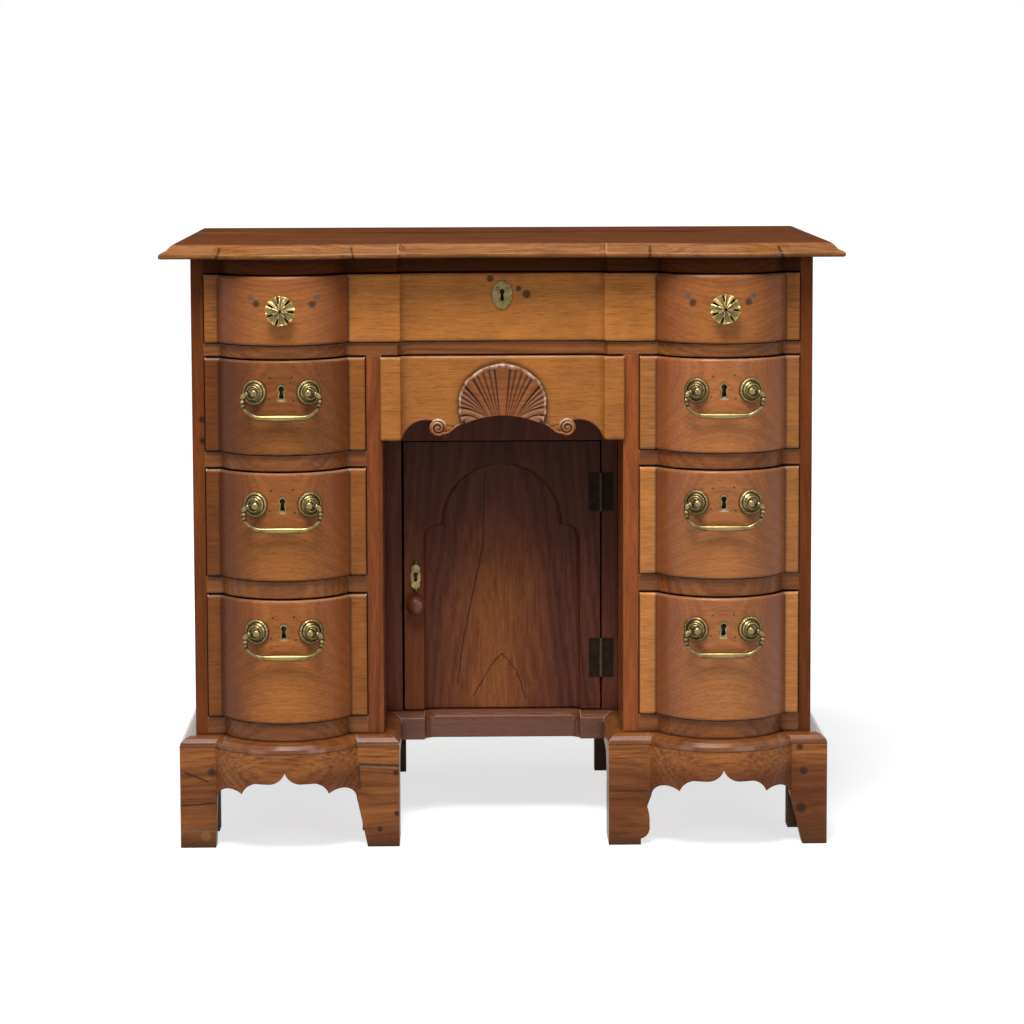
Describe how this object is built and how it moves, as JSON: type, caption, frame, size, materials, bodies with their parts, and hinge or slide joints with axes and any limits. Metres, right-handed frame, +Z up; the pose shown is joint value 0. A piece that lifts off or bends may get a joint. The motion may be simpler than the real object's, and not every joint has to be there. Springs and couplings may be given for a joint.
{
  "type": "bureau table",
  "caption": "Block-front mahogany kneehole bureau table: sliding drawers with brass pulls, a shell-carved drawer, a recessed cupboard door and bracket feet.",
  "frame": {"origin": "middle of the floor rectangle under the whole table, between its feet", "axes": "+X to the right as seen from the front, +Y to the back, +Z up"},
  "size_m": [0.86, 0.504, 0.7715],
  "materials": {
    "mahogany": "aged polished mahogany",
    "secondary_wood": "bare oxidised softwood",
    "brass": "aged lacquered brass",
    "hinge_iron": "dark blackened metal"
  },
  "bodies": {
    "case": {"top_board": "mahogany", "case_side_left": "mahogany", "case_side_right": "mahogany", "kneehole_side_left": "mahogany", "kneehole_side_right": "mahogany", "back_boards": "secondary_wood", "top_rail": "mahogany", "long_divider_rail": "mahogany", "short_dividers": "mahogany", "bottom_boards": "mahogany", "drawer_runners": "secondary_wood", "cupboard_frame": "mahogany", "cupboard_boards": "secondary_wood", "base_mouldings": "mahogany", "front_brackets": "mahogany", "side_brackets": "mahogany", "glue_blocks": "secondary_wood", "case_hinge_leaves": "hinge_iron"},
    "long_drawer": {"long_drawer_front": "mahogany", "long_drawer_box": "secondary_wood", "long_drawer_knobs": "brass", "long_drawer_lock": "brass"},
    "long_drawer_bolt": {"long_drawer_bolt": "brass"},
    "shell_drawer": {"shell_drawer_front": "mahogany", "shell_drawer_box": "secondary_wood"},
    "door": {"door_panel": "mahogany", "door_hinge_leaves": "hinge_iron", "door_knob": "mahogany", "door_lock": "brass"},
    "door_bolt": {"door_bolt": "brass"},
    "upper_left_drawer": {"upper_left_drawer_front": "mahogany", "upper_left_drawer_box": "secondary_wood", "upper_left_drawer_fittings": "brass"},
    "upper_left_drawer_bail": {"upper_left_drawer_bail": "brass"},
    "upper_left_drawer_bolt": {"upper_left_drawer_bolt": "brass"},
    "upper_right_drawer": {"upper_right_drawer_front": "mahogany", "upper_right_drawer_box": "secondary_wood", "upper_right_drawer_fittings": "brass"},
    "upper_right_drawer_bail": {"upper_right_drawer_bail": "brass"},
    "upper_right_drawer_bolt": {"upper_right_drawer_bolt": "brass"},
    "middle_left_drawer": {"middle_left_drawer_front": "mahogany", "middle_left_drawer_box": "secondary_wood", "middle_left_drawer_fittings": "brass"},
    "middle_left_drawer_bail": {"middle_left_drawer_bail": "brass"},
    "middle_left_drawer_bolt": {"middle_left_drawer_bolt": "brass"},
    "middle_right_drawer": {"middle_right_drawer_front": "mahogany", "middle_right_drawer_box": "secondary_wood", "middle_right_drawer_fittings": "brass"},
    "middle_right_drawer_bail": {"middle_right_drawer_bail": "brass"},
    "middle_right_drawer_bolt": {"middle_right_drawer_bolt": "brass"},
    "lower_left_drawer": {"lower_left_drawer_front": "mahogany", "lower_left_drawer_box": "secondary_wood", "lower_left_drawer_fittings": "brass"},
    "lower_left_drawer_bail": {"lower_left_drawer_bail": "brass"},
    "lower_left_drawer_bolt": {"lower_left_drawer_bolt": "brass"},
    "lower_right_drawer": {"lower_right_drawer_front": "mahogany", "lower_right_drawer_box": "secondary_wood", "lower_right_drawer_fittings": "brass"},
    "lower_right_drawer_bail": {"lower_right_drawer_bail": "brass"},
    "lower_right_drawer_bolt": {"lower_right_drawer_bolt": "brass"}
  },
  "joints": [
    {"name": "long_drawer_slide", "type": "slide", "parent": "case", "child": "long_drawer", "axis": [0, -1, 0], "range_m": [0, 0.26]},
    {"name": "long_drawer_bolt_slide", "type": "slide", "parent": "long_drawer", "child": "long_drawer_bolt", "axis": [0, 0, 1], "range_m": [0, 0.008]},
    {"name": "shell_drawer_slide", "type": "slide", "parent": "case", "child": "shell_drawer", "axis": [0, -1, 0], "range_m": [0, 0.26]},
    {"name": "door_hinge", "type": "hinge", "parent": "case", "child": "door", "pos_m": [0.1311, -0.041, 0.324], "axis": [0, 0, 1], "range_deg": [0, 90]},
    {"name": "door_bolt_slide", "type": "slide", "parent": "door", "child": "door_bolt", "axis": [-1, 0, 0], "range_m": [0, 0.008]},
    {"name": "upper_left_drawer_slide", "type": "slide", "parent": "case", "child": "upper_left_drawer", "axis": [0, -1, 0], "range_m": [0, 0.26]},
    {"name": "upper_left_drawer_bail_swing", "type": "hinge", "parent": "upper_left_drawer", "child": "upper_left_drawer_bail", "pos_m": [-0.277, -0.2398, 0.587], "axis": [-1, 0, 0], "range_deg": [-8, 100]},
    {"name": "upper_left_drawer_bolt_slide", "type": "slide", "parent": "upper_left_drawer", "child": "upper_left_drawer_bolt", "axis": [0, 0, 1], "range_m": [0, 0.008]},
    {"name": "upper_right_drawer_slide", "type": "slide", "parent": "case", "child": "upper_right_drawer", "axis": [0, -1, 0], "range_m": [0, 0.26]},
    {"name": "upper_right_drawer_bail_swing", "type": "hinge", "parent": "upper_right_drawer", "child": "upper_right_drawer_bail", "pos_m": [0.277, -0.2398, 0.587], "axis": [-1, 0, 0], "range_deg": [-8, 100]},
    {"name": "upper_right_drawer_bolt_slide", "type": "slide", "parent": "upper_right_drawer", "child": "upper_right_drawer_bolt", "axis": [0, 0, 1], "range_m": [0, 0.008]},
    {"name": "middle_left_drawer_slide", "type": "slide", "parent": "case", "child": "middle_left_drawer", "axis": [0, -1, 0], "range_m": [0, 0.26]},
    {"name": "middle_left_drawer_bail_swing", "type": "hinge", "parent": "middle_left_drawer", "child": "middle_left_drawer_bail", "pos_m": [-0.277, -0.2398, 0.4455], "axis": [-1, 0, 0], "range_deg": [-8, 100]},
    {"name": "middle_left_drawer_bolt_slide", "type": "slide", "parent": "middle_left_drawer", "child": "middle_left_drawer_bolt", "axis": [0, 0, 1], "range_m": [0, 0.008]},
    {"name": "middle_right_drawer_slide", "type": "slide", "parent": "case", "child": "middle_right_drawer", "axis": [0, -1, 0], "range_m": [0, 0.26]},
    {"name": "middle_right_drawer_bail_swing", "type": "hinge", "parent": "middle_right_drawer", "child": "middle_right_drawer_bail", "pos_m": [0.277, -0.2398, 0.4455], "axis": [-1, 0, 0], "range_deg": [-8, 100]},
    {"name": "middle_right_drawer_bolt_slide", "type": "slide", "parent": "middle_right_drawer", "child": "middle_right_drawer_bolt", "axis": [0, 0, 1], "range_m": [0, 0.008]},
    {"name": "lower_left_drawer_slide", "type": "slide", "parent": "case", "child": "lower_left_drawer", "axis": [0, -1, 0], "range_m": [0, 0.26]},
    {"name": "lower_left_drawer_bail_swing", "type": "hinge", "parent": "lower_left_drawer", "child": "lower_left_drawer_bail", "pos_m": [-0.277, -0.2398, 0.284], "axis": [-1, 0, 0], "range_deg": [-8, 100]},
    {"name": "lower_left_drawer_bolt_slide", "type": "slide", "parent": "lower_left_drawer", "child": "lower_left_drawer_bolt", "axis": [0, 0, 1], "range_m": [0, 0.008]},
    {"name": "lower_right_drawer_slide", "type": "slide", "parent": "case", "child": "lower_right_drawer", "axis": [0, -1, 0], "range_m": [0, 0.26]},
    {"name": "lower_right_drawer_bail_swing", "type": "hinge", "parent": "lower_right_drawer", "child": "lower_right_drawer_bail", "pos_m": [0.277, -0.2398, 0.284], "axis": [-1, 0, 0], "range_deg": [-8, 100]},
    {"name": "lower_right_drawer_bolt_slide", "type": "slide", "parent": "lower_right_drawer", "child": "lower_right_drawer_bolt", "axis": [0, 0, 1], "range_m": [0, 0.008]}
  ]
}
